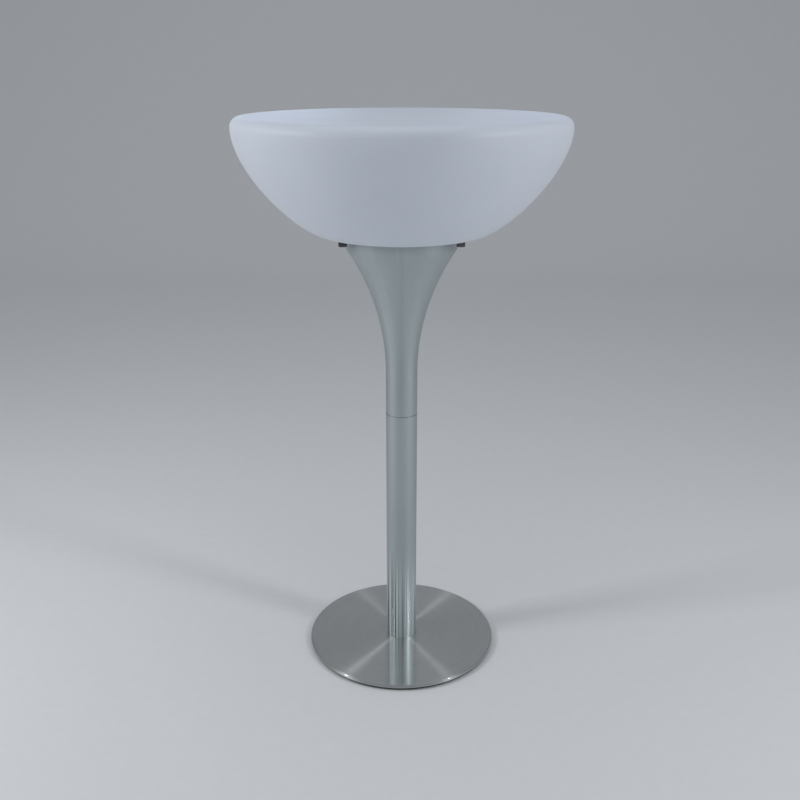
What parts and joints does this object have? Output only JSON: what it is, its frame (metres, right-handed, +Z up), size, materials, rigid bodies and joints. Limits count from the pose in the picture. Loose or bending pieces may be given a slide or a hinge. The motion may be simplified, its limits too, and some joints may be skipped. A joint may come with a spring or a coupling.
{
  "type": "light up bar table",
  "caption": "Standing-height round table with a closed glowing bowl as its top, on a flared steel column and a round weighted base.",
  "frame": {"origin": "middle of the base, on the floor", "axes": "+Z up along the column; -Y is the front, with the trumpet's weld seam; the ports are at +X +Y under the bowl"},
  "size_m": [0.6199, 0.62, 1.1],
  "materials": {
    "frosted_polyethylene": "satin",
    "brushed_stainless": "brushed",
    "plain_steel": "matt",
    "zinc_steel": "satin",
    "cast_iron": "painted",
    "black_rubber": "matt",
    "insert_brass": "satin",
    "white_plastic": "satin",
    "black_plastic": "satin",
    "clear_plastic": "clear",
    "cell_wrap": "gloss",
    "board_green": "satin",
    "board_metal": "satin",
    "led_package": "gloss",
    "lens_black": "gloss",
    "lead_sleeve": "satin",
    "nickel": "polished"
  },
  "bodies": {
    "table": {"base_cover": "brushed_stainless", "base_weight": "cast_iron", "foot_ring": "black_rubber", "base_screws": "zinc_steel", "lower_tube": "brushed_stainless", "foot_plug": "plain_steel", "tube_plug": "plain_steel", "trumpet_plug": "plain_steel", "joint_stud": "zinc_steel", "joint_nut": "zinc_steel", "trumpet": "brushed_stainless", "top_flange": "brushed_stainless", "seat_gasket": "black_rubber", "flange_washers": "zinc_steel", "flange_screws": "zinc_steel", "bowl_shell": "frosted_polyethylene", "bowl_inserts": "insert_brass", "light_tray": "white_plastic", "tray_seal": "black_rubber", "tray_screws": "zinc_steel", "battery_cells": "cell_wrap", "battery_cradle": "black_plastic", "battery_lead": "lead_sleeve", "control_board": "board_green", "board_parts": "black_plastic", "board_screws": "zinc_steel", "led_board": "board_metal", "leds": "led_package", "led_board_screws": "zinc_steel", "led_lead": "lead_sleeve", "infrared_eye": "lens_black", "light_cover": "clear_plastic", "power_button_body": "nickel", "power_button_nut": "zinc_steel", "charge_jack_body": "black_plastic", "charge_jack_contact": "nickel", "charge_jack_nut": "zinc_steel", "cap_hinge_pin": "zinc_steel", "port_leads": "lead_sleeve", "lead_grommets": "black_rubber"},
    "power_button": {"power_button_cap": "black_plastic", "power_button_spring": "zinc_steel"},
    "charge_cap": {"charge_port_cap": "black_rubber"}
  },
  "joints": [
    {"name": "button_press", "type": "slide", "parent": "table", "child": "power_button", "axis": [0, 0, 1], "range_m": [0, 0.0015], "stiffness_N_per_m": 800, "springref_m": -0.001, "deforming": ["power_button_spring"]},
    {"name": "cap_hinge", "type": "hinge", "parent": "table", "child": "charge_cap", "pos_m": [0.10694, 0.08973, 0.8849], "axis": [0.6428, -0.766, 0], "range_deg": [0, 110]}
  ]
}
